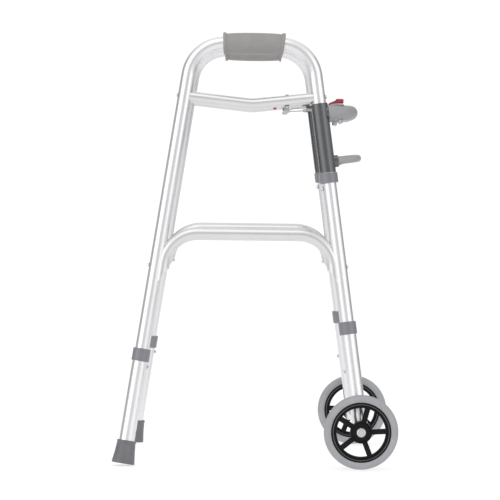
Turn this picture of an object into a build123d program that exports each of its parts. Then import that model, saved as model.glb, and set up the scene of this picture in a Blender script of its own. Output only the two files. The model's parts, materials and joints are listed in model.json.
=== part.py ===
from build123d import *
import math
import os

# Folding walking frame with front wheels, in millimetres.
# +X is forward (the wheels' end), +Y is the user's left, +Z is up. The origin is on the floor, under the
# middle of the frame. Each side frame is drawn flat in its own plane, standing up at y = 0 with +Y
# inboard, then splayed and moved out to make the right side. The left side is its mirror image.

# ---- driving dimensions ----
handle_height = 723.5        # centre of the handle tube
handle_half_width = 212.0    # handle tube to the middle of the frame
splay = 4.0                  # degrees that each side frame leans out towards the floor
front_lean = 7.88            # degrees of each leg from upright, in the side frame's plane
rear_lean = 8.79
front_corner_x = 88.75       # where the handle's line meets the legs' lines
rear_corner_x = -113.65
handle_bend = 62.5           # bend radius on the centreline

tube_r, tube_wall = 12.0, 1.4
extension_r, extension_bore_r = 13.2, 12.1
rail_r, rail_wall = 9.5, 1.2
brace_r, brace_wall = 11.1, 1.3
crossbar_r, crossbar_wall = 12.7, 1.3
lower_cross_r, lower_cross_wall = 6.35, 1.2
skin = 0.05                  # gap between pieces that fit over or against one another

# heights above the floor of what is fitted on the legs
inner_tube_end = {"front": 140.0, "rear": 142.0}
extension_end = {"front": 49.0, "rear": 12.0}
collar_height_z = {"front": 238.3, "rear": 188.6}
collar_r, collar_length = 15.25, 22.0
button_below_collar = {"front": 72.0, "rear": 18.6}
hole_pitch = 19.05
holes_above = {"front": 3, "rear": 0}
hole_count = 7
button_r, button_hole_r = 2.7, 2.95
button_tip = 16.6            # from the leg's axis to the button's tip
brace_rivet_z = 341.0

rail_low_x, rail_low_z = -12.05, 619.9
rail_end_z = 632.2
brace_z = 396.8
brace_offset = 11.0          # centre of the brace's ends from the legs' axes, so that they saddle the legs
brace_bend = 60.0
brace_tip_z = 316.5
brace_taper_z = 349.0

sleeve_r, sleeve_bore_r = 14.3, 12.05
sleeve_top_z, sleeve_end_z = 621.7, 503.6
ring_r, ring_length, ring_z = 16.1, 17.6, 494.3
stop_z = 477.6

crossbar_z, crossbar_front_x, crossbar_bend = 607.1, 157.4, 36.0
lower_cross_z, lower_cross_reach, lower_cross_bend = 521.6, 54.2, 26.0
lower_cross_root = 15.6      # from the leg's axis to the brace's flattened end

grip_r, grip_flange_r, grip_flange = 17.6, 19.3, 7.0
grip_ends_x = (-62.65, 42.5)

latch_y, latch_thick = 17.6, 2.4       # inboard face offsets of the latch lever from the side's plane
latch_pivot_x, latch_pivot_z = 83.85, 616.3
latch_peg_x, latch_peg_z = 47.85, 611.6
catch_flange_z = 616.1
marker_x, marker_angle, marker_r = 29.6, 30.0, 3.2   # red dot low on the rail's inboard face

wheel_x, wheel_half_width, wheel_r = 179.95, 290.0, 63.5
rim_r, rim_width, tyre_width = 51.2, 22.0, 26.0
hub_r, hub_width, axle_r, bushing_r = 15.5, 21.0, 4.0, 7.0
window_inner_r, window_outer_r, spoke_width, spoke_count = 19.0, 41.7, 9.0, 5
first_spoke_angle = {"right": 75.0, "left": 105.0}   # the two wheels rest turned differently

tip_r_top, tip_r_floor, tip_length, tip_sole = 16.0, 19.8, 40.0, 7.0


def sin(degrees):
    return math.sin(math.radians(degrees))


def cos(degrees):
    return math.cos(math.radians(degrees))


def tan(degrees):
    return math.tan(math.radians(degrees))


# ---- places on the side frame ----
def plane_height(z):
    """Height in the upright side plane of what ends up z above the floor once the side is splayed."""
    return handle_height - (handle_height - z) / cos(splay)


def leg_point(leg, z):
    """Point on a leg's axis, in the upright side plane, for a height z above the floor."""
    height = plane_height(z)
    drop = handle_height - height
    if leg == "front":
        return Vector(front_corner_x + drop * tan(front_lean), 0, height)
    return Vector(rear_corner_x - drop * tan(rear_lean), 0, height)


def leg_plane(leg, z):
    """Plane across a leg: its z runs up the leg, its x runs forward and its y runs inboard."""
    if leg == "front":
        up = (-sin(front_lean), 0, cos(front_lean))
        fore = (cos(front_lean), 0, sin(front_lean))
    else:
        up = (sin(rear_lean), 0, cos(rear_lean))
        fore = (cos(rear_lean), 0, -sin(rear_lean))
    return Plane(origin=leg_point(leg, z), x_dir=fore, z_dir=up)


def inward(leg):
    """+1 or -1: the way along a leg plane's x that points at the other leg."""
    return -1 if leg == "front" else 1


def right_side(shape):
    """Splays a shape from the upright side plane and moves it out to the right."""
    hang = Pos(0, -handle_half_width, handle_height) * Rot(X=-splay)
    return hang * Pos(0, 0, -handle_height) * shape


# ---- building blocks ----
def tube(path, radius, wall):
    """Round tube along a wire; solid bar if the wall is 0."""
    ring = Circle(radius) - Circle(radius - wall) if wall else Circle(radius)
    return sweep(Plane(origin=path @ 0, z_dir=path % 0) * ring, path=path)


def rod(start, end, radius):
    """Round bar between two points."""
    start, end = Vector(start), Vector(end)
    length = (end - start).length
    bar = Cylinder(radius, length, align=(Align.CENTER, Align.CENTER, Align.MIN))
    return Plane(origin=start, z_dir=end - start) * bar


def rivet(plane, start, end, shank_r, head_r, head_height):
    """Rivet along a plane's x from start to end, with a domed head past each end."""
    way = 1 if end > start else -1
    outline = Polyline(
        (start - way * head_height, 0),
        (start - way * head_height, head_r * 0.55),
        (start, head_r),
        (start, shank_r),
        (end, shank_r),
        (end, head_r * 0.8),
        (end + way * head_height * 0.8, head_r * 0.5),
        (end + way * head_height * 0.8, 0),
        close=True,
    )
    return plane * revolve(make_face(outline), Axis.X)


def across_leg(leg, z, start, end, radius):
    """Bar along the fore-and-aft line across a leg."""
    plane = leg_plane(leg, z)
    return rod(plane.from_local_coords((start, 0, 0)), plane.from_local_coords((end, 0, 0)), radius)


def button_z(leg):
    return collar_height_z[leg] - button_below_collar[leg]


# ---- side frame ----
def main_tube():
    """Front leg, handle and rear leg: one tube with two bends."""
    path = FilletPolyline(
        leg_point("rear", inner_tube_end["rear"]),
        (rear_corner_x, 0, handle_height),
        (front_corner_x, 0, handle_height),
        leg_point("front", inner_tube_end["front"]),
        radius=handle_bend,
    )
    shape = tube(path, tube_r, tube_wall)
    for leg in ("front", "rear"):
        shape -= across_leg(leg, rail_end_z, -20, 20, 2.5 + skin)
        shape -= across_leg(leg, brace_rivet_z, -20, 20, 2.5 + skin)
        shape -= across_leg(leg, button_z(leg), 0, 20 * inward(leg), button_hole_r)
    shape -= across_leg("front", stop_z, -20, 0, 2.0 + skin)
    return shape


def hand_grip():
    """Moulded grip with a flange at each end, following the tube into its bends."""
    rear_bend_x = rear_corner_x + handle_bend * tan((90 - rear_lean) / 2)
    front_bend_x = front_corner_x - handle_bend * tan((90 - front_lean) / 2)
    points = []
    for bend_x, end_x in zip((rear_bend_x, front_bend_x), grip_ends_x):
        turn = math.degrees(math.asin((end_x - bend_x) / handle_bend))
        step = handle_bend * tan(turn / 2)
        reach = abs(step) + 0.05
        corner = Vector(bend_x + step, 0, handle_height)
        along = Vector(cos(turn) * math.copysign(1, turn), 0, -sin(abs(turn)))
        points += [corner, corner + along * reach]
    rear_in, rear_out, front_in, front_out = points
    path = FilletPolyline(rear_out, rear_in, front_in, front_out, radius=handle_bend)
    shape = tube(path, grip_r, grip_r - tube_r - skin * 2)
    for at, way in ((path @ 0, path % 0), (path @ 1, path % 1 * -1)):
        start = Plane(origin=at, z_dir=way)
        flange = Cylinder(grip_flange_r, grip_flange, align=(Align.CENTER, Align.CENTER, Align.MIN))
        bore = Cylinder(grip_r - 1, grip_flange * 3)
        shape += start * (fillet(flange.edges(), 1.4) - bore)
    return shape


def rail_path(inset):
    """Centreline of the V-bent rail, from the rear leg to the front leg."""
    front, rear = leg_point("front", rail_end_z), leg_point("rear", rail_end_z)
    low = Vector(rail_low_x, 0, plane_height(rail_low_z))
    start = rear + (low - rear).normalized() * inset
    end = front + (low - front).normalized() * inset
    return FilletPolyline(start, low, end, radius=90)


def upper_side_rail():
    """V-bent rail under the grip, coped to the legs, with a plug pressed into each end."""
    shape = tube(rail_path(2), rail_r, 0) - tube(rail_path(24), rail_r - rail_wall, 0)
    for leg in ("front", "rear"):
        shape -= leg_plane(leg, rail_end_z) * Cylinder(tube_r + skin, 90)
        shape -= across_leg(leg, rail_end_z, 0, 20.1 * inward(leg), 2.5 + skin)
        shape -= across_leg(leg, rail_end_z, 20 * inward(leg), 24.8 * inward(leg), 4.1)
    shape -= Pos(latch_peg_x, 0, plane_height(rail_low_z)) * Cylinder(2 + skin, 60)
    return shape


def brace_path():
    """Centreline of the arched lower brace, from the rear leg to the front leg."""
    height = plane_height(brace_z)

    def ends(leg):
        low = leg_plane(leg, brace_tip_z).from_local_coords((brace_offset * inward(leg), 0, 0))
        top = leg_plane(leg, brace_z).from_local_coords((brace_offset * inward(leg), 0, 0))
        along = (top - low).normalized()
        corner = low + along * ((height - low.Z) / along.Z)
        return low, corner

    rear_low, rear_corner = ends("rear")
    front_low, front_corner = ends("front")
    return FilletPolyline(rear_low, rear_corner, front_corner, front_low, radius=brace_bend)


def lower_side_brace():
    """Arched brace whose dished, tapered ends saddle the legs. Only the arch is hollow."""
    path = brace_path()
    shape = tube(path, brace_r, 0)
    height = plane_height(brace_z)
    hollow = Pos(0, 0, height + 45) * Box(600, 60, 190)
    shape -= tube(path, brace_r - brace_wall, 0) & hollow
    for leg in ("front", "rear"):
        shape -= leg_plane(leg, brace_z) * Cylinder(tube_r + skin, 400)
        way = inward(leg)
        full = leg_plane(leg, brace_taper_z).from_local_coords(((brace_offset + brace_r + 0.5) * way, 0, 0))
        tip = leg_plane(leg, brace_tip_z).from_local_coords(((tube_r - 4) * way, 0, -2))
        slope = (tip - full).normalized()
        out = Vector(way, 0, 0)
        wedge = make_face(Polyline(full, tip + slope * 10, tip + slope * 10 + out * 60, full + out * 60, close=True))
        shape -= extrude(wedge, 40, dir=(0, 1, 0), both=True)
        shape -= across_leg(leg, brace_rivet_z, 0, 40 * way, 2.5 + skin)
    return shape


def frame_rivets():
    """Rivets that hold the rail and the brace to the legs, and the catch under the rail."""
    rivets = []
    for leg in ("front", "rear"):
        way = inward(leg)
        plane = leg_plane(leg, rail_end_z)
        rivets.append(rivet(plane, -tube_r * way, 20 * way, 2.5, 3.9, 2.4))
        plane = leg_plane(leg, brace_rivet_z)
        rivets.append(rivet(plane, -tube_r * way, 20.9 * way, 2.5, 3.9, 2.4))
    top = plane_height(rail_low_z + abs(latch_peg_x - rail_low_x) * 0.108) + rail_r + 0.5
    upright = Plane(origin=(latch_peg_x, 0, 0), x_dir=(0, 0, 1), z_dir=(1, 0, 0))
    rivets.append(rivet(upright, top, plane_height(catch_flange_z) - 0.9, 2.0, 3.5, 1.0))
    return Compound(rivets)


def catch_bracket():
    """Sheet-steel hook under the rail: a top flange, an inboard web and a bottom flange with a hole."""
    thick, width = 0.9, 8.0
    top = plane_height(catch_flange_z)
    bottom = top - 7.3
    web = latch_y + latch_thick + 2.0
    outline = Polyline(
        (-5, top), (web + thick, top), (web + thick, bottom), (latch_y - 3, bottom),
        (latch_y - 3, bottom + thick), (web, bottom + thick), (web, top - thick), (-5, top - thick),
        close=True,
    )
    side = Plane(origin=(latch_peg_x - width / 2, 0, 0), x_dir=(0, 1, 0), z_dir=(1, 0, 0))
    shape = extrude(side * make_face(outline), width)
    shape -= Pos(latch_peg_x, 0, top) * Cylinder(2 + skin, 6)
    shape -= Pos(latch_peg_x, latch_y + latch_thick / 2, bottom) * Cylinder(2.0, 6)
    return shape


def hinge_ring():
    """Collar on the front leg that carries the hinge sleeve's lower end."""
    ring = Cylinder(ring_r, ring_length)
    ring = fillet(ring.edges(), 1.2)
    return leg_plane("front", ring_z) * (ring - Cylinder(tube_r + skin, 60))


def lock_marker():
    """Red dot bonded to the rail, facing inboard and down."""
    height = plane_height(rail_low_z + (marker_x - rail_low_x) * 0.108)
    out = Vector(0, cos(marker_angle), -sin(marker_angle))
    axis = Vector(marker_x, 0, height)
    dot = Cylinder(marker_r, 2.4, align=(Align.CENTER, Align.CENTER, Align.MIN))
    dot = fillet(dot.edges().group_by(Axis.Z)[-1], 1.0)
    dot = Plane(origin=axis + out * (rail_r - 1.2), x_dir=(1, 0, 0), z_dir=out) * dot
    along = Vector(20, 0, 20 * 0.108)
    return dot - rod(axis - along, axis + along, rail_r + 0.02)


def stop_rivet():
    """Blind rivet under the ring, on the leg's rear face."""
    return rivet(leg_plane("front", stop_z), -tube_r, -tube_r + tube_wall + 1.0, 2.0, 4.2, 3.4)


# ---- telescoping legs ----
def extension(leg):
    """Outer telescoping tube with a row of holes for the snap button."""
    top = collar_height_z[leg] + 7
    foot = leg_plane(leg, extension_end[leg]).origin
    head = leg_plane(leg, top).origin
    shape = rod(foot, head, extension_r) - rod(foot, head, extension_bore_r)
    plane = leg_plane(leg, button_z(leg))
    for step in range(hole_count):
        along = (holes_above[leg] - step) * hole_pitch
        start = plane.from_local_coords((0, 0, along))
        end = plane.from_local_coords((20 * inward(leg), 0, along))
        shape -= rod(start, end, button_hole_r)
    return shape


def collar(leg):
    """Plastic collar over the extension's top end, running on the inner tube."""
    outside = fillet(Cylinder(collar_r, collar_length).edges(), 1.0)
    outside -= Cylinder(tube_r + 0.1, collar_length * 2)
    step = 7 / cos(splay) / cos(front_lean if leg == "front" else rear_lean)
    outside -= Pos(0, 0, step - 20) * Cylinder(extension_r + skin, 40)
    return leg_plane(leg, collar_height_z[leg]) * outside


def snap_button(leg):
    """Spring-loaded button through both tubes, domed at its tip."""
    flange_start = 6.2
    upright = (Align.CENTER, Align.CENTER, Align.MIN)
    stem = Cylinder(button_r, button_tip - flange_start, align=upright)
    stem = fillet(stem.edges().group_by(Axis.Z)[-1], 1.9)
    button = Pos(0, 0, flange_start) * (stem + Cylinder(4.2, 1.2, align=upright))
    return leg_plane(leg, button_z(leg)) * (Rot(Y=90 * inward(leg)) * button)


def snap_springs():
    """One V-shaped leaf spring in each leg, behind the button."""
    springs = []
    wide, thick, drop = 6.0, 0.7, 26.0
    for leg in ("front", "rear"):
        way = inward(leg)
        outline = Polyline(
            (6.1 * way, 4), (6.1 * way, -5), (-7.4 * way, -drop), (-8.9 * way, -drop), (-8.9 * way, 6),
            ((thick - 8.9) * way, 6), ((thick - 8.9) * way, 1.5 - drop), (-7.4 * way, 1.5 - drop),
            ((6.1 - thick) * way, thick - 5), ((6.1 - thick) * way, 4),
            close=True,
        )
        plane = leg_plane(leg, button_z(leg))
        side = Plane(origin=plane.origin, x_dir=plane.x_dir, z_dir=plane.y_dir * -1)
        springs.append(extrude(side * make_face(outline), wide / 2, both=True))
    return Compound(springs)


def sole_plane():
    """Plane of the rear tip's sole, placed so that its lowest rim touches the floor."""
    tilt_cos = cos(rear_lean) * cos(splay)
    return leg_plane("rear", tip_r_floor * math.sqrt(1 - tilt_cos**2))


def rear_tip():
    """Tapered rubber tip over the rear leg's end."""
    body = Cone(tip_r_floor, tip_r_top, tip_length, align=(Align.CENTER, Align.CENTER, Align.MIN))
    bore = Cylinder(extension_r + skin, tip_length, align=(Align.CENTER, Align.CENTER, Align.MIN))
    return sole_plane() * (body - Pos(0, 0, tip_sole) * bore)


def tip_washer():
    """Steel disc between the tube's end and the rubber sole."""
    disc = Cylinder(extension_r - 0.2, 1.4, align=(Align.CENTER, Align.CENTER, Align.MIN))
    return sole_plane() * (Pos(0, 0, tip_sole + skin) * disc)


# ---- front frame ----
def placed(point):
    """Where a point of the upright side plane is on the finished right side."""
    return right_side(Vertex(point.X, point.Y, point.Z)).center()


def crossbar_path():
    start = placed(leg_point("front", crossbar_z)) + Vector(8, 0, 0)
    return FilletPolyline(
        start, (crossbar_front_x, start.Y, start.Z), (crossbar_front_x, -start.Y, start.Z),
        (start.X, -start.Y, start.Z), radius=crossbar_bend,
    )


def both_legs(shape):
    return [shape, mirror(shape, about=Plane.XZ)]


def upper_crossbar():
    """Bowed bar between the hinge sleeves, cut off along them, with a bolt hole near each end."""
    shape = tube(crossbar_path(), crossbar_r, crossbar_wall)
    beside_sleeve = Pos(sleeve_r + 0.6 - 30, 0, 0) * Box(60, 70, 90)
    trim = right_side(leg_plane("front", crossbar_z) * beside_sleeve)
    for cut in both_legs(trim) + both_legs(crossbar_bolt_hole()):
        shape -= cut
    return shape


def bolt_point():
    """Top view of the crossbar bolt: 30 degrees into the crossbar's end bend."""
    start = crossbar_path() @ 0
    x = crossbar_front_x - crossbar_bend + crossbar_bend * sin(30)
    y = start.Y + crossbar_bend - crossbar_bend * cos(30)
    return Vector(x, y, crossbar_z)


def crossbar_bolt_hole():
    at = bolt_point()
    return Pos(at.X, at.Y, at.Z) * Cylinder(2.5 + skin, 60)


def lower_cross_plane():
    """Plane of the lower cross brace, square to the leg: x forward from the right leg's axis, y left."""
    origin = placed(leg_point("front", lower_cross_z))
    return Plane(origin=origin, x_dir=(cos(front_lean), 0, sin(front_lean)), z_dir=(-sin(front_lean), 0, cos(front_lean)))


def lower_cross_root_shape(grow):
    """Flattened end of the lower cross brace, blending into its round tube."""
    plane = lower_cross_plane()
    bend_start = lower_cross_reach - lower_cross_bend

    def across(at):
        return Plane(origin=plane.from_local_coords((at, 0, 0)), x_dir=plane.y_dir, z_dir=plane.x_dir)

    flat = across(lower_cross_root) * Ellipse(4.6 + grow, 8.2 + grow)
    neck = across(lower_cross_root + 5) * Ellipse(4.6 + grow, 8.2 + grow)
    round_end = across(bend_start) * Circle(lower_cross_r - 0.03 + grow)
    return loft([flat, neck]) + loft([neck, round_end])


def lower_cross_brace():
    """Bowed lower brace between the sleeves, flattened where it enters their lugs."""
    plane = lower_cross_plane()
    width = -2 * plane.origin.Y
    bend_start = lower_cross_reach - lower_cross_bend - 0.05
    path = FilletPolyline(
        plane.from_local_coords((bend_start, 0, 0)),
        plane.from_local_coords((lower_cross_reach, 0, 0)),
        plane.from_local_coords((lower_cross_reach, width, 0)),
        plane.from_local_coords((bend_start, width, 0)),
        radius=lower_cross_bend,
    )
    shape = tube(path, lower_cross_r, lower_cross_wall)
    for root in both_legs(lower_cross_root_shape(0)):
        shape += root
    for pin in both_legs(lower_cross_pin(skin)):
        shape -= pin
    return shape


def lower_cross_pin(grow):
    """Pin across the lower lug and the brace's flattened end."""
    plane = lower_cross_plane()
    at = lower_cross_root + 2.4
    return rod(plane.from_local_coords((at, -6.3, 0)), plane.from_local_coords((at, 6.3, 0)), 1.6 + grow)


def hinge_sleeve():
    """Moulded sleeve that turns on the front leg, with a spigot, a lower lug and a latch lug."""
    top, end = leg_point("front", sleeve_top_z), leg_point("front", sleeve_end_z)
    shape = right_side(rod(end, top, sleeve_r))
    rib = leg_plane("front", (sleeve_top_z + sleeve_end_z) / 2)
    for angle in (150, 210):
        rib_box = Pos(sleeve_r, 0, 0) * Box(2.4, 3.0, (top - end).length - 6)
        shape += right_side(rib * (Rot(Z=angle) * rib_box))
    start = placed(leg_point("front", crossbar_z))
    arc = 40.0
    step = crossbar_bend * tan(arc / 2)
    bend_start = crossbar_front_x - crossbar_bend
    path = FilletPolyline(
        start, (bend_start + step, start.Y, start.Z),
        (bend_start + step + (step + 0.05) * cos(arc), start.Y + (step + 0.05) * sin(arc), start.Z),
        radius=crossbar_bend,
    )
    shape += tube(path, crossbar_r - crossbar_wall - skin * 3, 0)
    shape -= crossbar_bolt_hole()
    plane = lower_cross_plane()
    lug_plane = Plane(origin=plane.origin, x_dir=plane.y_dir, z_dir=plane.x_dir)
    shape += lug_plane * extrude(Ellipse(6.6, 10.4), 20.2)
    shape -= lower_cross_root_shape(skin)
    shape -= lower_cross_pin(skin)
    lug = Pos(latch_pivot_x + 5, latch_y - 5.5, plane_height(latch_pivot_z) - 0.2) * Box(16, 10, 5.6)
    shape += right_side(fillet(lug.edges().filter_by(Axis.Y), 1.9))
    shape -= right_side(pivot_bore(1.5 + skin))
    shape -= right_side(rod(end - (top - end) * 0.1, top + (top - end) * 0.1, sleeve_bore_r))
    return shape


def crossbar_bolts():
    """Bolt, washer and nut through the crossbar's end and the sleeve's spigot, and the lower pin."""
    at = bolt_point()
    top, low = crossbar_r + 0.3, -crossbar_r - 0.3
    head = Pos(0, 0, top) * Cylinder(4.4, 2.2, align=(Align.CENTER, Align.CENTER, Align.MIN))
    head = fillet(head.edges().group_by(Axis.Z)[-1], 1.6)
    shank = Pos(0, 0, (top + low - 6.5) / 2) * Cylinder(2.5, top - low + 7)
    nut = Pos(0, 0, low - 4.6) * extrude(RegularPolygon(4.6, 6), 4.6)
    bolt = Pos(at.X, at.Y, at.Z) * (head + shank + nut)
    return Compound([bolt, lower_cross_pin(0)])


# ---- latch ----
def latch_outline(points, height):
    """Strip of a constant height along points of the side plane, given as (x, height above floor)."""
    upper = [(x, plane_height(z) + height / 2) for x, z in points]
    lower = [(x, plane_height(z) - height / 2) for x, z in reversed(points)]
    return Polyline(*upper, *lower, close=True)


def side_plate(outline, y, thick):
    plane = Plane(origin=(0, y + thick, 0), x_dir=(1, 0, 0), z_dir=(0, -1, 0))
    return extrude(plane * make_face(outline), thick)


def pivot_bore(radius):
    z = plane_height(latch_pivot_z)
    return rod((latch_pivot_x, latch_y - 9.0, z), (latch_pivot_x, latch_y + latch_thick + 1, z), radius)


def latch_lever():
    """Steel rocker: a tongue with a peg for the catch, a pivot eye and a front arm."""
    points = [
        (42.0, 611.3), (52.0, 611.6), (57.5, 614.4), (latch_pivot_x, latch_pivot_z),
        (96.0, 616.6), (113.0, 616.8), (118.5, 621.4), (131.0, 626.8), (142.0, 627.6),
    ]
    shape = side_plate(latch_outline(points, 2.2), latch_y, latch_thick)
    z = plane_height(latch_pivot_z)
    eye = rod((latch_pivot_x, latch_y, z), (latch_pivot_x, latch_y + latch_thick, z), 2.8)
    shape += eye
    peg_z = plane_height(latch_peg_z)
    shape += Pos(latch_peg_x, latch_y + latch_thick / 2, peg_z - 1.6) * Cylinder(1.4, 3.0)
    return shape - pivot_bore(1.5 + skin)


def release_paddle():
    """Red plastic thumb pad moulded over the lever's front arm."""
    arm = latch_outline([(119.5, 622.0), (131.0, 627.0), (138.0, 627.6)], 4.4)
    shape = side_plate(arm, latch_y - 1.6, latch_thick + 3.2)
    pad = Pos(138.3, latch_y + latch_thick / 2 + 1.5, plane_height(628.1)) * Box(14.0, 15.0, 8.2)
    pad = fillet(pad.edges(), 2.6)
    return shape + pad - latch_lever()


def latch_pin():
    """Pivot pin of the latch lever, headed at its inboard end."""
    z = plane_height(latch_pivot_z)
    inner = latch_y + latch_thick + 0.15
    shank = rod((latch_pivot_x, latch_y - 9.0, z), (latch_pivot_x, inner + 0.6, z), 1.5)
    return shank + rod((latch_pivot_x, inner, z), (latch_pivot_x, inner + 1.2, z), 2.5)


def return_spring():
    """Wire hairpin round the crossbar bolt's head, its long leg pushing the lever's arm up."""
    at = bolt_point()
    under = latch_y + latch_thick / 2
    dip = placed(Vector(122.5, under, plane_height(617.2)))
    end = placed(Vector(132.6, under, plane_height(622.6)))
    base = crossbar_z + crossbar_r + 0.9
    rear, front, side = 122.5, at.X + 5.9, 5.9
    path = FilletPolyline(
        (rear, at.Y - side, base), (front, at.Y - side, base), (front, at.Y + side, base),
        (rear, at.Y + side, base), dip, end, radius=1.8,
    )
    return tube(path, 0.8, 0)


# ---- wheels ----
def on_axle(shape):
    """Moves a shape turned about the local z axis (z outboard) onto the right wheel's axle."""
    place = Plane(origin=(wheel_x, -wheel_half_width, wheel_r), x_dir=(1, 0, 0), z_dir=(0, -1, 0))
    return place * shape


def centred(radius, height):
    return Cylinder(radius, height)


def wheel_rim(side):
    """Five-spoke moulded rim with a raised lip, ribbed spokes and a hub, on the right wheel's axle."""
    first = first_spoke_angle[side]
    barrel = centred(rim_r, rim_width) - centred(rim_r - 5.2, rim_width + 2)
    barrel = fillet(barrel.edges().filter_by(GeomType.CIRCLE), 1.2)
    web = centred(rim_r - 4, 9) - centred(hub_r - 3, 12)
    spokes = [
        Rot(Z=first + 360 / spoke_count * n)
        * Pos((window_inner_r + window_outer_r) / 2, 0, 0)
        * Rectangle(window_outer_r + 8, spoke_width)
        for n in range(spoke_count)
    ]
    windows = Circle(window_outer_r) - Circle(window_inner_r)
    for spoke in spokes:
        windows -= spoke
    windows = Sketch() + [fillet(face.vertices(), 4.0) for face in windows.faces()]
    web -= extrude(windows, 10, both=True)
    ribs = []
    for n in range(spoke_count):
        rib = Pos((hub_r + rim_r - 4) / 2, 0, 0) * Box(rim_r - 5 - hub_r + 3, 3.2, 14)
        ribs.append(Rot(Z=first + 360 / spoke_count * n) * rib)
    hub = centred(hub_r, hub_width)
    hub = fillet(hub.edges(), 1.2)
    shape = barrel + web + ribs + hub
    return on_axle(shape - centred(bushing_r, hub_width + 2))


def tyre():
    """Solid grey tyre with a rounded tread."""
    inner, outer, half = rim_r, wheel_r, tyre_width / 2
    outline = Polyline((inner, -half + 1.5), (inner + 2.5, -half), (outer - 5.5, -half))
    crown = ThreePointArc((outer - 5.5, -half), (outer, 0), (outer - 5.5, half))
    rest = Polyline((outer - 5.5, half), (inner + 2.5, half), (inner, half - 1.5), (inner, -half + 1.5))
    return on_axle(revolve(Plane.XZ * make_face(outline + crown + rest), Axis.Z))


def wheel_bushings():
    """Plain bushing pressed into each end of the hub."""
    bushings = []
    for side in (-1, 1):
        sleeve = Pos(0, 0, side * hub_width / 4) * centred(bushing_r, hub_width / 2 - 1)
        flange = Pos(0, 0, side * (hub_width / 2 + 0.5)) * centred(bushing_r + 2, 1.0)
        link = Pos(0, 0, side * (hub_width / 2 - 0.4)) * centred(bushing_r, 1.0)
        bushings.append(sleeve + link + flange - centred(axle_r + skin, 60))
    return on_axle(Compound(bushings))


def axle_bolt():
    """Axle through the wheel and the front leg, with a domed head outside."""
    face = hub_width / 2 + 1.6
    inner_end = -(wheel_half_width - 235.5)
    upright = (Align.CENTER, Align.CENTER, Align.MIN)
    head = Cylinder(8.2, 3.4, align=upright)
    head = fillet(head.edges().group_by(Axis.Z)[-1], 2.6)
    shank = Pos(0, 0, inner_end) * Cylinder(axle_r, face - inner_end, align=upright)
    return on_axle(Pos(0, 0, face) * head + shank)


def axle_hardware():
    """Spacer between wheel and leg, and the nut and washer inside the leg."""
    leg_y = placed(leg_point("front", wheel_r)).Y
    leg_middle = -(wheel_half_width + leg_y)
    spacer_top = -hub_width / 2 - 1.2
    outer_face = leg_middle + extension_r + 0.9
    inner_face = leg_middle - extension_r - 0.9
    spacer = Pos(0, 0, (spacer_top + outer_face) / 2) * centred(8, spacer_top - outer_face)
    washer = Pos(0, 0, inner_face - 0.6) * centred(8, 1.2)
    nut = Pos(0, 0, inner_face - 1.2 - 6.0) * extrude(RegularPolygon(7.5, 6), 6.0)
    bore = centred(axle_r + skin, 200)
    return on_axle(Compound([spacer - bore, washer + nut - bore]))


def front_extension():
    """Front extension, drilled for the axle."""
    return right_side(extension("front")) - on_axle(centred(axle_r + skin, 200))


# ---- writing the pieces ----
def side_pieces():
    flat = {
        "main_tube": main_tube(),
        "hand_grip": hand_grip(),
        "upper_side_rail": upper_side_rail(),
        "lower_side_brace": lower_side_brace(),
        "frame_rivets": frame_rivets(),
        "catch_bracket": catch_bracket(),
        "hinge_ring": hinge_ring(),
        "stop_rivet": stop_rivet(),
        "lock_marker": lock_marker(),
        "snap_springs": snap_springs(),
        "rear_extension": extension("rear"),
        "rear_tip": rear_tip(),
        "tip_washer": tip_washer(),
        "latch_lever": latch_lever(),
        "release_paddle": release_paddle(),
        "latch_pin": latch_pin(),
    }
    for leg in ("front", "rear"):
        flat[leg + "_collar"] = collar(leg)
        flat[leg + "_snap_button"] = snap_button(leg)
    pieces = {name: right_side(shape) for name, shape in flat.items()}
    pieces["front_extension"] = front_extension()
    pieces["hinge_sleeve"] = hinge_sleeve()
    pieces["crossbar_bolts"] = crossbar_bolts()
    pieces["return_spring"] = return_spring()
    pieces["wheel_rim"] = wheel_rim("right")
    pieces["tyre"] = tyre()
    pieces["wheel_bushings"] = wheel_bushings()
    pieces["axle_bolt"] = axle_bolt()
    pieces["axle_hardware"] = axle_hardware()
    return pieces


os.makedirs("parts", exist_ok=True)
export_step(upper_crossbar(), "parts/upper_crossbar.step")
export_step(lower_cross_brace(), "parts/lower_cross_brace.step")
right_pieces = side_pieces()
for piece_name, piece in right_pieces.items():
    export_step(piece, f"parts/right_{piece_name}.step")
left_pieces = right_pieces | {"wheel_rim": wheel_rim("left")}
for piece_name, piece in left_pieces.items():
    export_step(mirror(piece, about=Plane.XZ), f"parts/left_{piece_name}.step")
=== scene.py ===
import json
import math

import bmesh
import bpy
from mathutils import Matrix, Vector


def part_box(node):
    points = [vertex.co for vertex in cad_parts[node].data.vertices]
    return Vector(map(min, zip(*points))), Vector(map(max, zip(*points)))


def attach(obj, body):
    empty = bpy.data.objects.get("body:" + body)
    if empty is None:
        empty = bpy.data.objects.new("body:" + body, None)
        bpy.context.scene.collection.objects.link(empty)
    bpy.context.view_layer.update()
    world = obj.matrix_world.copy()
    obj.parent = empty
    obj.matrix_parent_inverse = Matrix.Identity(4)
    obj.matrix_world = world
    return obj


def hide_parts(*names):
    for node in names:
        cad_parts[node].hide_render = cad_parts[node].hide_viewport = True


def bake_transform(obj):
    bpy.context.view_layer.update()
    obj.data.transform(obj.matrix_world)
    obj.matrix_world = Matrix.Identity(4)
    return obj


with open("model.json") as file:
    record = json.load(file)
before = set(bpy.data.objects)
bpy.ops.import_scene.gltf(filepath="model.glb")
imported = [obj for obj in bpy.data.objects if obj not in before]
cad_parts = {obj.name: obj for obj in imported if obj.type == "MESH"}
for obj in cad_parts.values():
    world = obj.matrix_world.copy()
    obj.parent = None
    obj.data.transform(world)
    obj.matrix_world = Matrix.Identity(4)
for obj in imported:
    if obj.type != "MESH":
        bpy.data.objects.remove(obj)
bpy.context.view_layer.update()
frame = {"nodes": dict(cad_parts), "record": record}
nodes = frame["nodes"]
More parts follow.
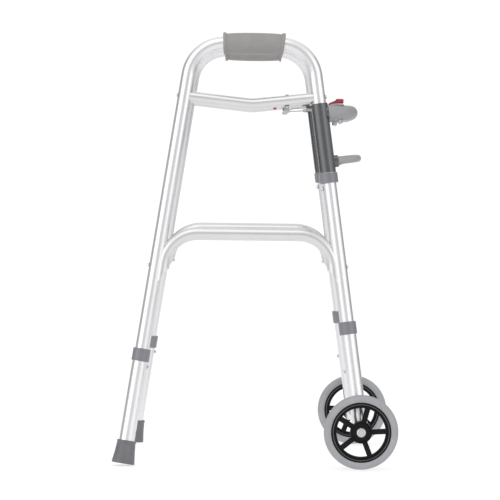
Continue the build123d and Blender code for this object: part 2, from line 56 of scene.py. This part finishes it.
mounts = {mount["name"]: mount for mount in frame["record"]["mounts"]}
SIDES = ("right", "left")


# ---- node-based materials -------------------------------------------------------------------------------
class Shader:
    """A principled material with a few helpers for procedural detail, in object space (metres)."""

    def __init__(self, name):
        self.material = bpy.data.materials.new(name)
        self.material.use_nodes = True
        self.tree = self.material.node_tree
        self.surface = self.tree.nodes["Principled BSDF"]
        self.place = self.add("ShaderNodeTexCoord").outputs["Object"]

    def add(self, kind, **values):
        node = self.tree.nodes.new(kind)
        for name, value in values.items():
            setattr(node, name, value)
        return node

    def link(self, output, target):
        self.tree.links.new(output, target)

    def stretched(self, scale, place=None):
        """Coordinates multiplied along x, y and z."""
        node = self.add("ShaderNodeMapping")
        self.link(place or self.place, node.inputs["Vector"])
        node.inputs["Scale"].default_value = scale
        return node.outputs["Vector"]

    def noise(self, scale, detail=3.0, place=None, distortion=0.0):
        node = self.add("ShaderNodeTexNoise")
        self.link(place or self.place, node.inputs["Vector"])
        node.inputs["Scale"].default_value = scale
        node.inputs["Detail"].default_value = detail
        node.inputs["Distortion"].default_value = distortion
        return node.outputs["Fac"]

    def spread(self, value, low, high, start=0.3, end=0.7):
        """value from start to end becomes low to high."""
        node = self.add("ShaderNodeMapRange")
        self.link(value, node.inputs["Value"])
        node.inputs["From Min"].default_value = start
        node.inputs["From Max"].default_value = end
        node.inputs["To Min"].default_value = low
        node.inputs["To Max"].default_value = high
        return node.outputs["Result"]

    def math(self, operation, a, b):
        node = self.add("ShaderNodeMath", operation=operation)
        for value, target in zip((a, b), node.inputs):
            if isinstance(value, (int, float)):
                target.default_value = value
            else:
                self.link(value, target)
        return node.outputs["Value"]

    def blend(self, factor, dark, light):
        """Colour between dark and light."""
        node = self.add("ShaderNodeMix", data_type="RGBA")
        self.link(factor, node.inputs["Factor"])
        node.inputs["A"].default_value = (*dark, 1)
        node.inputs["B"].default_value = (*light, 1)
        return node.outputs["Result"]

    def edge_mask(self, radius=0.0012):
        """1 on edges and corners, 0 on open surfaces."""
        bevel = self.add("ShaderNodeBevel", samples=4)
        bevel.inputs["Radius"].default_value = radius
        shape = self.add("ShaderNodeNewGeometry")
        angle = self.add("ShaderNodeVectorMath", operation="DOT_PRODUCT")
        self.link(bevel.outputs["Normal"], angle.inputs[0])
        self.link(shape.outputs["Normal"], angle.inputs[1])
        return self.spread(angle.outputs["Value"], 1.0, 0.0, 0.86, 0.995)

    def bump(self, height, distance, strength=1.0, under=None):
        node = self.add("ShaderNodeBump")
        node.inputs["Distance"].default_value = distance
        node.inputs["Strength"].default_value = strength
        self.link(height, node.inputs["Height"])
        if under is not None:
            self.link(under, node.inputs["Normal"])
        return node.outputs["Normal"]

    def finish(self, colour=None, roughness=None, normal=None, **fixed):
        if colour is not None:
            self.link(colour, self.surface.inputs["Base Color"])
        if roughness is not None:
            self.link(roughness, self.surface.inputs["Roughness"])
        if normal is not None:
            self.link(normal, self.surface.inputs["Normal"])
        for name, value in fixed.items():
            self.surface.inputs[name.replace("_", " ")].default_value = value
        return self.material


REAR_LEAN, FRONT_LEAN = -0.155, 0.1388   # how far the legs run forward as they go down, per unit of height
SPLAY = 0.0697                           # and outward
NEAR_MIDDLE = 0.01                       # half-width of the strip in which rear turns to front, left to right


def aluminium(name, along, light, dark, rough):
    """Satin anodised tube: fine drawing lines along it, faint clouding and a few hairline scratches."""
    shader = Shader(name)
    parts = shader.add("ShaderNodeSeparateXYZ")
    shader.link(shader.place, parts.inputs[0])
    x, y, z = parts.outputs
    if along == "leg":
        lean = shader.spread(x, REAR_LEAN, FRONT_LEAN, -NEAR_MIDDLE, NEAR_MIDDLE)
        x = shader.math("ADD", x, shader.math("MULTIPLY", z, lean))
        splay = shader.spread(y, -SPLAY, SPLAY, -NEAR_MIDDLE, NEAR_MIDDLE)
        y = shader.math("ADD", y, shader.math("MULTIPLY", z, splay))
    straight = shader.add("ShaderNodeCombineXYZ")
    for value, target in zip((x, y, z), straight.inputs):
        shader.link(value, target)
    scale = {"leg": (1, 1, 0.008), "fore": (0.008, 1, 1)}[along]
    drawn = shader.stretched(scale, straight.outputs[0])
    lines = shader.noise(3200, 2.0, drawn)
    bands = shader.noise(500, 1.0, drawn)
    cloud = shader.noise(18, 2.0)
    hairline = tuple(0.05 if value < 1 else 1 for value in scale)
    scratches = shader.noise(1300, 0.0, shader.stretched(hairline, straight.outputs[0]))
    scratches = shader.spread(scratches, 0, 0.05, 0.78, 0.84)
    tone = shader.math("ADD", shader.spread(bands, 0.2, 0.6), shader.spread(cloud, 0.0, 0.4))
    roughness = shader.math("ADD", shader.spread(lines, *rough), shader.spread(cloud, -0.01, 0.02))
    roughness = shader.math("ADD", roughness, scratches)
    normal = shader.bump(lines, 0.00001, 0.12)
    return shader.finish(shader.blend(tone, dark, light), roughness, normal, Metallic=1.0)


def plain_metal(name, light, dark, rough, grain=900, edge=None):
    """Plated or bare small metal part: fine grain, tarnish in patches and brighter worn edges."""
    shader = Shader(name)
    patches = shader.noise(160, 4.0, distortion=0.4)
    fine = shader.noise(grain, 3.0)
    colour = shader.blend(shader.spread(patches, 0, 1), dark, light)
    if edge:
        worn = shader.add("ShaderNodeMix", data_type="RGBA")
        shader.link(shader.edge_mask(0.0006), worn.inputs["Factor"])
        shader.link(colour, worn.inputs["A"])
        worn.inputs["B"].default_value = (*edge, 1)
        colour = worn.outputs["Result"]
    roughness = shader.math("ADD", shader.spread(patches, *rough), shader.spread(fine, -0.04, 0.06))
    return shader.finish(colour, roughness, shader.bump(fine, 0.00004, 0.4), Metallic=1.0)


def coated(name, light, dark, rough, peel=520, edge=None, **fixed):
    """Paint or moulded plastic: slight tone drift, orange peel or mould texture, and dulled edges; on the
    black rim the edge colour is a painted highlight instead.
    """
    shader = Shader(name)
    drift = shader.noise(34, 3.0)
    skin = shader.noise(peel, 3.0)
    fine = shader.noise(peel * 4, 2.0)
    colour = shader.blend(shader.spread(drift, 0, 1), dark, light)
    if edge:
        # On the black rim this edge colour is a painted highlight.
        worn = shader.add("ShaderNodeMix", data_type="RGBA")
        shader.link(shader.edge_mask(), worn.inputs["Factor"])
        shader.link(colour, worn.inputs["A"])
        worn.inputs["B"].default_value = (*edge, 1)
        colour = worn.outputs["Result"]
    roughness = shader.math("ADD", shader.spread(drift, *rough), shader.spread(fine, -0.03, 0.05))
    normal = shader.bump(skin, 0.00006, 0.35)
    return shader.finish(colour, roughness, normal, **fixed)


def rubbery(name, light, dark, rough, grain=1500, depth=0.00012, dust=(0.5, 0.5, 0.5), **fixed):
    """Rubber or soft vinyl: pebbled skin with pale dust caught on its edges."""
    shader = Shader(name)
    drift = shader.noise(45, 4.0)
    pebble = shader.add("ShaderNodeTexVoronoi", feature="SMOOTH_F1")
    shader.link(shader.place, pebble.inputs["Vector"])
    pebble.inputs["Scale"].default_value = grain
    colour = shader.blend(shader.spread(drift, 0, 1), dark, light)
    worn = shader.add("ShaderNodeMix", data_type="RGBA")
    shader.link(shader.math("MULTIPLY", shader.edge_mask(), 0.35), worn.inputs["Factor"])
    shader.link(colour, worn.inputs["A"])
    worn.inputs["B"].default_value = (*dust, 1)
    roughness = shader.spread(drift, *rough)
    normal = shader.bump(pebble.outputs["Distance"], depth, 0.5)
    return shader.finish(worn.outputs["Result"], roughness, normal, **fixed)


leg_metal = aluminium("anodised_leg", "leg", (0.80, 0.80, 0.812), (0.76, 0.76, 0.775), (0.24, 0.30))
# Same anodised aluminium as the legs, set darker: painted shade on the side rails and braces.
rail_metal_painted_shade = aluminium("anodised_rail_painted_shade", "fore", (0.72, 0.715, 0.715), (0.68, 0.676, 0.678), (0.26, 0.33))
looks = {
    "main_tube": leg_metal,
    "front_extension": leg_metal,
    "rear_extension": leg_metal,
    "upper_side_rail": rail_metal_painted_shade,
    "lower_side_brace": rail_metal_painted_shade,
    "frame_rivets": plain_metal("rivet_aluminium", (0.74, 0.74, 0.75), (0.6, 0.6, 0.62), (0.3, 0.42)),
    "hinge_sleeve": coated(
        "charcoal_plastic", (0.030, 0.036, 0.042), (0.022, 0.027, 0.032), (0.20, 0.28),
        edge=(0.06, 0.065, 0.07), Coat_Weight=1.0, Coat_Roughness=0.14, Coat_IOR=1.72,
    ),
    "hinge_ring": coated(
        "grey_plastic", (0.195, 0.195, 0.222), (0.165, 0.165, 0.19), (0.26, 0.34),
        edge=(0.26, 0.26, 0.28), Coat_Weight=0.5, Coat_Roughness=0.2,
    ),
    "red": coated("red_plastic", (0.42, 0.035, 0.06), (0.34, 0.022, 0.04), (0.22, 0.32), Coat_Weight=0.3),
    "paint": coated(
        "grey_coat", (0.315, 0.315, 0.325), (0.285, 0.285, 0.295), (0.30, 0.38),
        peel=700, edge=(0.34, 0.34, 0.35),
    ),
    "zinc": plain_metal(
        "zinc_steel", (0.62, 0.63, 0.64), (0.5, 0.51, 0.53), (0.18, 0.34), edge=(0.72, 0.72, 0.73),
    ),
    "spring": plain_metal("spring_steel", (0.45, 0.46, 0.47), (0.3, 0.31, 0.32), (0.22, 0.34)),
    # Rim edges set lighter than the black: a painted highlight on its edges and corners.
    "rim": coated(
        "black_rim", (0.006, 0.006, 0.007), (0.004, 0.004, 0.005), (0.28, 0.36),
        edge=(0.03, 0.03, 0.033), Specular_IOR_Level=0.15,
    ),
    # Bead rings: the black of the rim set lighter as a painted highlight on their rounded tops, under a
    # glossy coat.
    "rim_painted_highlight": coated(
        "glossy_rim_painted_highlight", (0.030, 0.030, 0.034), (0.022, 0.022, 0.026), (0.2, 0.3),
        Coat_Weight=1.0, Coat_Roughness=0.1, Coat_IOR=1.7,
    ),
    "bushing": coated("bushing_plastic", (0.012, 0.012, 0.013), (0.008, 0.008, 0.009), (0.4, 0.5)),
    "tyre": rubbery(
        "grey_tyre", (0.355, 0.358, 0.374), (0.31, 0.313, 0.328), (0.55, 0.7), 900, dust=(0.45, 0.45, 0.46),
    ),
    "tip": rubbery(
        "tip_rubber", (0.155, 0.155, 0.168), (0.125, 0.125, 0.136), (0.36, 0.5), 1100, dust=(0.3, 0.3, 0.3),
    ),
    "grip": rubbery(
        "grip_vinyl", (0.30, 0.288, 0.282), (0.262, 0.25, 0.245), (0.45, 0.58), 1300, dust=(0.4, 0.39, 0.38),
    ),
}
looks |= {
    "upper_crossbar": looks["paint"],
    "lower_cross_brace": looks["paint"],
    "front_collar": looks["hinge_ring"],
    "rear_collar": looks["hinge_ring"],
    "release_paddle": looks["red"],
    "lock_marker": looks["red"],
    "return_spring": looks["spring"],
    "snap_springs": looks["spring"],
    "wheel_rim": looks["rim"],
    "wheel_bushings": looks["bushing"],
    "rear_tip": looks["tip"],
    "hand_grip": looks["grip"],
}


def part_of(name):
    """A node's name without its side."""
    for side in SIDES:
        name = name.removeprefix(side + "_")
    return name


for name, node in nodes.items():
    look = looks.get(part_of(name), looks["zinc"])
    node.data.materials.clear()
    node.data.materials.append(look)


# ---- meshes turned about an axis ------------------------------------------------------------------------
def turned(name, outline, place, segments, shade, bump=None):
    """Closed ring-shaped mesh: outline is a loop of (along, radius), place maps (along, radius, angle)."""
    mesh = bmesh.new()
    rings = []
    for n in range(segments):
        angle = 2 * math.pi * n / segments
        ring = []
        for along, radius in outline:
            extra = bump(along, radius, angle) if bump else 0
            ring.append(mesh.verts.new(place(along, radius + extra, angle)))
        rings.append(ring)
    count = len(outline)
    for n in range(segments):
        here, after = rings[n], rings[(n + 1) % segments]
        for k in range(count):
            follow = (k + 1) % count
            mesh.faces.new((here[k], here[follow], after[follow], after[k]))
    bmesh.ops.recalc_face_normals(mesh, faces=mesh.faces)
    return as_object(name, mesh, shade)


def as_object(name, mesh, shade):
    data = bpy.data.meshes.new(name)
    mesh.to_mesh(data)
    mesh.free()
    data.materials.append(shade)
    for face in data.polygons:
        face.use_smooth = True
    piece = bpy.data.objects.new(name, data)
    bpy.context.scene.collection.objects.link(piece)
    return piece


def arc(centre, radius, start, end, steps):
    """Points of an arc in the outline plane, in degrees."""
    points = []
    for n in range(steps + 1):
        angle = math.radians(start + (end - start) * n / steps)
        points.append((centre[0] + radius * math.cos(angle), centre[1] + radius * math.sin(angle)))
    return points


def axes_for(direction):
    """Two unit vectors square to a direction and to each other."""
    first = direction.cross(Vector((0, 1, 0)) if abs(direction.y) < 0.9 else Vector((1, 0, 0))).normalized()
    return first, direction.cross(first).normalized()


# ---- wheels ---------------------------------------------------------------------------------------------
TYRE_SEGMENTS, RING_SEGMENTS = 160, 128   # round the wheel
RING_STEPS = 8                            # over a ring's rounded top


def about_axle(centre):
    """Place function for a mesh turned about an axle along Y."""
    def place(along, radius, angle):
        return centre + Vector((radius * math.cos(angle), along, radius * math.sin(angle)))
    return place


def tyre_outline(inner, outer, half):
    """Section as a loop of (along, radius): step at the rim, soft shoulders and two tread grooves."""
    crown_rise = 0.0056
    side = [
        (half - 0.0016, inner), (half - 0.0008, inner + 0.0008), (half - 0.0008, inner + 0.0022),
        (half - 0.0001, inner + 0.0034), (half, inner + 0.0052), (half - 0.0004, outer - crown_rise),
    ]
    tread = []
    steps = 36
    groove_at, groove_width, groove_depth = 0.0052, 0.0011, 0.0009
    for n in range(1, steps):
        turn = math.pi * n / steps
        along = (half - 0.0004) * math.cos(turn)
        radius = outer - crown_rise + crown_rise * math.sin(turn) ** 0.75
        tread.append((along, radius))
    cut = []
    for along, radius in tread:
        near = abs(abs(along) - groove_at)
        cut.append((along, radius - groove_depth * max(0.0, 1 - (near / groove_width) ** 2)))
    mirrored = [(-along, radius) for along, radius in reversed(side)]
    return side + cut + mirrored


def make_tyre(side):
    low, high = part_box(side + "_tyre")
    centre = (low + high) / 2
    outer, half = (high.z - low.z) / 2, (high.y - low.y) / 2
    rim_low, rim_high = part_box(side + "_wheel_rim")
    inner = (rim_high.z - rim_low.z) / 2
    outline = tyre_outline(inner, outer, half)
    piece = turned(side + "_tyre_rubber", outline, about_axle(centre), TYRE_SEGMENTS, looks["tyre"])
    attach(piece, side + "_wheel")
    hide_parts(side + "_tyre")


def ring_outline(inner, outer, base, rise, way):
    """Ring with a rounded top between two radii, standing on base and facing way along the axle."""
    middle, half = (inner + outer) / 2, (outer - inner) / 2
    outline = [(way * base, inner), (way * base, outer)]
    for step in range(RING_STEPS + 1):
        turn = math.pi * step / RING_STEPS
        height = base + rise * (0.45 + 0.55 * math.sin(turn))
        outline.append((way * height, middle + half * math.cos(turn)))
    return outline


def make_rim_rings(side):
    """Rounded bead near the lip and collar round the hub, on each face of the rim."""
    low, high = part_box(side + "_wheel_rim")
    centre = (low + high) / 2
    face = (high.y - low.y) / 2
    rings = (
        # The bead's lighter colour is a painted highlight; the collar keeps the plain rim colour.
        ("bead", 0.0468, 0.0484, face - 0.0012, 0.0021, looks["rim_painted_highlight"]),
        ("collar", 0.0162, 0.0186, face - 0.0016, 0.0020, looks["rim"]),
    )
    for label, inner, outer, base, rise, shade in rings:
        for face_name, way in (("right", -1), ("left", 1)):
            name = f"{side}_rim_{label}_{face_name}_face"
            outline = ring_outline(inner, outer, base, rise, way)
            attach(turned(name, outline, about_axle(centre), RING_SEGMENTS, shade), side + "_wheel")


# ---- rear tips ------------------------------------------------------------------------------------------
def tip_outline():
    """Rubber tip from its sole up: ringed sole, rounded edge, tapered side, bead at the mouth, bore."""
    floor_r, top_r, height, bore_r, sole = 0.0198, 0.0160, 0.040, 0.01325, 0.007
    centre_r = 0.00001
    points = []
    for start in (0.0035, 0.0085, 0.0135):
        points += [(0.0, start), (0.0009, start + 0.0006), (0.0009, start + 0.0016), (0.0, start + 0.0022)]
    points += [(0.0, floor_r - 0.0016), (0.0002, floor_r - 0.0007)]
    points += [(0.0009, floor_r - 0.0001), (0.0022, floor_r - 0.00015), (0.0060, floor_r - 0.0006)]
    for n in range(1, 9):
        share = n / 9
        along = 0.006 + share * (height - 0.0115)
        radius = floor_r - 0.0006 - (floor_r - 0.0008 - top_r) * share - 0.0004 * math.sin(math.pi * share)
        points.append((along, radius))
    points += [(height - 0.0048, top_r - 0.0002), (height - 0.0042, top_r + 0.0001)]
    points += [(height - 0.0036, top_r + 0.0004)]
    points += [(height - 0.0010, top_r + 0.0004), (height - 0.0003, top_r + 0.0001), (height, top_r - 0.0006)]
    points += [(height, bore_r + 0.0005), (height - 0.0006, bore_r), (sole, bore_r)]
    points += [(sole, centre_r), (0.0, centre_r)]
    return points


def make_tip(side):
    mount = mounts[side + "_rear_tip_sole"]
    base = Vector(mount["pos_m"])
    up = -Vector(mount["axis"])
    first, second = axes_for(up)

    def place(along, radius, angle):
        return base + up * along + first * (radius * math.cos(angle)) + second * (radius * math.sin(angle))

    piece = turned(side + "_rear_tip_rubber", tip_outline(), place, 96, looks["tip"])
    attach(piece, side + "_rear_leg")
    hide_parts(side + "_rear_tip")


# ---- hand grips -----------------------------------------------------------------------------------------
GRIP_ENDS = (-0.06265, 0.0425)
GRIP_MIDDLE_Y = 0.212                 # half the distance between the two grips
GRIP_BEND = 0.0625                    # bend radius of the handle tube's centreline
GRIP_STRAIGHT = (-0.06005, 0.03435)   # where the handle's bends start


def grip_centre(x, height):
    """Centreline of the handle at x: (z, slope angle)."""
    beyond = max(GRIP_STRAIGHT[0] - x, 0) - max(x - GRIP_STRAIGHT[1], 0)
    turn = math.asin(beyond / GRIP_BEND)
    return height - GRIP_BEND * (1 - math.cos(turn)), turn


def grip_radius(share):
    """Radius along the grip, from 0 at one end to 1 at the other: a crowned middle."""
    return 0.0170 + 0.0017 * math.sin(math.pi * share) ** 0.6


def make_grip(side):
    tube_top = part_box(side + "_main_tube")[1].z
    tube_r, bore_r = 0.012, 0.01205
    height = tube_top - tube_r
    middle_y = math.copysign(GRIP_MIDDLE_Y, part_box(side + "_hand_grip")[0].y)
    start, end = GRIP_ENDS
    length = end - start
    flange, flange_r, lip = 0.0052, 0.0192, 0.0022
    outline = [(start, bore_r), (start, flange_r - lip)]
    outline += arc((start + lip, flange_r - lip), lip, 180, 90, 6)[1:]
    outline += arc((start + flange - lip, flange_r - lip), lip, 90, 20, 6)
    outline += [(start + flange + 0.0002, 0.0176), (start + flange + 0.0007, 0.0170)]
    steps = 44
    body = length - 2 * flange - 0.0022
    for n in range(steps + 1):
        share = n / steps
        outline.append((start + flange + 0.0011 + share * body, grip_radius(share)))
    first_half = [point for point in outline if point[0] < start + flange + 0.0009]
    outline += [(start + end - at, radius) for at, radius in reversed(first_half)]

    def seam(along, radius, angle):
        """Parting line of the mould, under and over the grip."""
        if radius < 0.0165:
            return 0.0
        return 0.00012 * math.exp(-((math.sin(angle) / 0.035) ** 2))

    def place(along, radius, angle):
        z, turn = grip_centre(along, height)
        outward = Vector((-math.sin(turn), 0, math.cos(turn)))
        offset = outward * (radius * math.cos(angle)) + Vector((0, radius * math.sin(angle), 0))
        return Vector((along, middle_y, z)) + offset

    piece = turned(side + "_grip_vinyl", outline, place, 96, looks["grip"], seam)
    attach(piece, side + "_side_frame")
    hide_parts(side + "_hand_grip")


# ---- springs cut from the CAD mesh ----------------------------------------------------------------------
def flexing_spring(name, node, wanted):
    """The part of a spring's CAD mesh that wanted picks, as a piece of its own."""
    mesh = bmesh.new()
    mesh.from_mesh(nodes[node].data)
    mesh.transform(nodes[node].matrix_world)
    others = [vertex for vertex in mesh.verts if not wanted(vertex.co)]
    bmesh.ops.delete(mesh, geom=others, context="VERTS")
    smooth = [face.smooth for face in mesh.faces]
    piece = as_object(name, mesh, looks["spring"])
    piece.data.polygons.foreach_set("use_smooth", smooth)
    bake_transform(piece)
    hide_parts(node)


def make_springs(side):
    """Hairpin under the release paddle, and the leaf springs behind the snap buttons."""
    flexing_spring(
        side + "_return_hairpin", side + "_return_spring", lambda at: True,
    )
    for end, way in (("front", 1), ("rear", -1)):
        flexing_spring(
            f"{side}_{end}_leaf_spring", side + "_snap_springs", lambda at: at.x * way > 0,
        )


for side in SIDES:
    make_tyre(side)
    make_rim_rings(side)
    make_tip(side)
    make_grip(side)
    make_springs(side)


# ---- floor, light and camera ----------------------------------------------------------------------------
FLOOR_GLOW = 0.63


def make_floor():
    """Plain pale floor with a pool of light where the frame stands, running back behind it."""
    half_width, below = 12.0, 0.0003
    mesh = bmesh.new()
    bmesh.ops.create_grid(mesh, x_segments=1, y_segments=1, size=half_width)
    bmesh.ops.translate(mesh, verts=mesh.verts, vec=(0, 0, -below))
    shader = Shader("pale_floor")
    parts = shader.add("ShaderNodeSeparateXYZ")
    shader.link(shader.place, parts.inputs[0])
    widening = shader.spread(parts.outputs["Y"], 0, 0.9, 0, 12)
    away = shader.math("SUBTRACT", shader.math("ABSOLUTE", parts.outputs["X"], 0), widening)
    pool = shader.spread(away, FLOOR_GLOW, FLOOR_GLOW * 0.5, 0.55, 1.8)
    haze = shader.blend(shader.spread(shader.noise(2.0, 2.0), 0, 1), (0.38, 0.38, 0.38), (0.41, 0.41, 0.41))
    shader.link(pool, shader.surface.inputs["Emission Strength"])
    shader.surface.inputs["Emission Color"].default_value = (1, 1, 1, 1)
    floor = as_object("pale_floor", mesh, shader.finish(haze, Roughness=0.85))


def area_light(name, place, aim, size, power):
    data = bpy.data.lights.new(name, "AREA")
    data.shape = "RECTANGLE"
    data.size, data.size_y = size
    data.energy = power
    light = bpy.data.objects.new(name, data)
    light.location = place
    light.rotation_euler = (Vector(aim) - Vector(place)).to_track_quat("-Z", "Y").to_euler()
    bpy.context.scene.collection.objects.link(light)


# Brightness of the studio round the frame: degrees from the near side (+ is forward, towards +X), strength.
STUDIO_WALLS = (
    (-180, 1.06), (-166, 1.06), (-154, 0.46), (-94, 0.46), (-82, 0.8), (-70, 2.0), (-48, 2.0), (-30, 1.5),
    (-15, 0.78), (0, 0.66), (14, 0.66), (34, 1.2), (42, 1.75), (58, 1.75), (72, 1.2), (92, 0.75),
    (112, 0.38), (154, 0.38), (166, 1.06), (180, 1.06),
)
STUDIO_CEILING, STUDIO_BRIGHTEST = 0.98, 4.0


def make_studio():
    """Walls with two soft boxes, dark gaps to the sides and a white wall behind; a pale ceiling."""
    world = bpy.data.worlds.new("studio")
    bpy.context.scene.world = world
    world.use_nodes = True
    tree = world.node_tree
    add, link = tree.nodes.new, tree.links.new
    parts = add("ShaderNodeSeparateXYZ")
    link(add("ShaderNodeTexCoord").outputs["Generated"], parts.inputs[0])
    towards = add("ShaderNodeMath")
    towards.operation = "MULTIPLY"
    towards.inputs[1].default_value = -1
    link(parts.outputs["Y"], towards.inputs[0])
    angle = add("ShaderNodeMath")
    angle.operation = "ARCTAN2"
    link(parts.outputs["X"], angle.inputs[0])
    link(towards.outputs[0], angle.inputs[1])
    turn = add("ShaderNodeMapRange")
    turn.inputs["From Min"].default_value = -math.pi
    turn.inputs["From Max"].default_value = math.pi
    link(angle.outputs[0], turn.inputs["Value"])
    walls = add("ShaderNodeFloatCurve")
    curve = walls.mapping.curves[0]
    while len(curve.points) < len(STUDIO_WALLS):
        curve.points.new(0.5, 0.5)
    for point, (degrees, strength) in zip(curve.points, STUDIO_WALLS):
        point.location = ((degrees + 180) / 360, strength / STUDIO_BRIGHTEST)
        point.handle_type = "VECTOR"
    walls.mapping.update()
    link(turn.outputs["Result"], walls.inputs["Value"])
    bright = add("ShaderNodeMath")
    bright.operation = "MULTIPLY"
    bright.inputs[1].default_value = STUDIO_BRIGHTEST
    link(walls.outputs[0], bright.inputs[0])
    height = add("ShaderNodeMapRange")
    height.interpolation_type = "SMOOTHSTEP"
    height.inputs["From Min"].default_value = 0.35
    height.inputs["From Max"].default_value = 0.8
    link(parts.outputs["Z"], height.inputs["Value"])
    whole = add("ShaderNodeMix")
    link(height.outputs["Result"], whole.inputs["Factor"])
    link(bright.outputs[0], whole.inputs["A"])
    whole.inputs["B"].default_value = STUDIO_CEILING
    link(whole.outputs["Result"], tree.nodes["Background"].inputs["Strength"])
    tree.nodes["Background"].inputs["Color"].default_value = (1, 1, 1, 1)


CAMERA_PLACE = Vector((-0.01265, -6.640, 0.5275))
CAMERA_LENS, CAMERA_PITCH, CAMERA_ROLL = 269.3, 1.41, 0.7


def make_camera():
    """Long lens, looking slightly down from the right side of the frame, with a touch of roll."""
    pitch, roll = math.radians(CAMERA_PITCH), math.radians(CAMERA_ROLL)
    ahead = Vector((0, math.cos(pitch), -math.sin(pitch)))
    right = Vector((math.cos(roll), 0, math.sin(roll)))
    right = (right - ahead * right.dot(ahead)).normalized()
    up = right.cross(ahead)
    data = bpy.data.cameras.new("camera")
    data.lens = CAMERA_LENS
    data.sensor_width = 36.0
    data.clip_end = 50.0
    camera = bpy.data.objects.new("camera", data)
    rotation = Matrix((right, up, -ahead)).transposed()
    camera.matrix_world = Matrix.Translation(CAMERA_PLACE) @ rotation.to_4x4()
    bpy.context.scene.collection.objects.link(camera)
    bpy.context.scene.camera = camera


make_floor()
make_studio()
area_light("overhead", place=(-0.6, -1.6, 3.2), aim=(0, 0, 0.4), size=(2.4, 2.4), power=9)
make_camera()
bpy.context.scene.view_settings.view_transform = "Standard"
